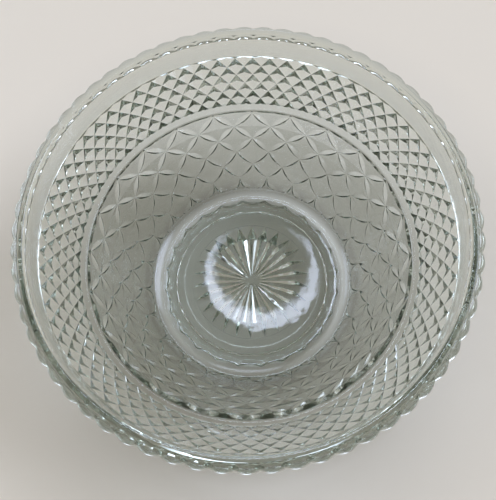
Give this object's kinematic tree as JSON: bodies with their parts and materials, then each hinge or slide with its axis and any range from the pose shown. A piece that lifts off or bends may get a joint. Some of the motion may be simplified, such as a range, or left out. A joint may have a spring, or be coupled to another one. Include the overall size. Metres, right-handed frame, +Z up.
{
  "type": "punch bowl",
  "caption": "Pressed clear-glass punch bowl: diamond-cut body, band of pointed diamonds, fluted rim and a low fluted foot with a star underneath.",
  "frame": {"origin": "centre of the foot's rest face, on the surface that the bowl stands on", "axes": "+Z up along the bowl's axis of revolution; +X and +Y through crests of the rim flutes"},
  "size_m": [0.359, 0.359, 0.165],
  "materials": {
    "clear_glass": "clear pressed soda-lime glass, fire polished, faint grey-green tint"
  },
  "bodies": {
    "root": {"bowl": "clear_glass"}
  },
  "joints": []
}
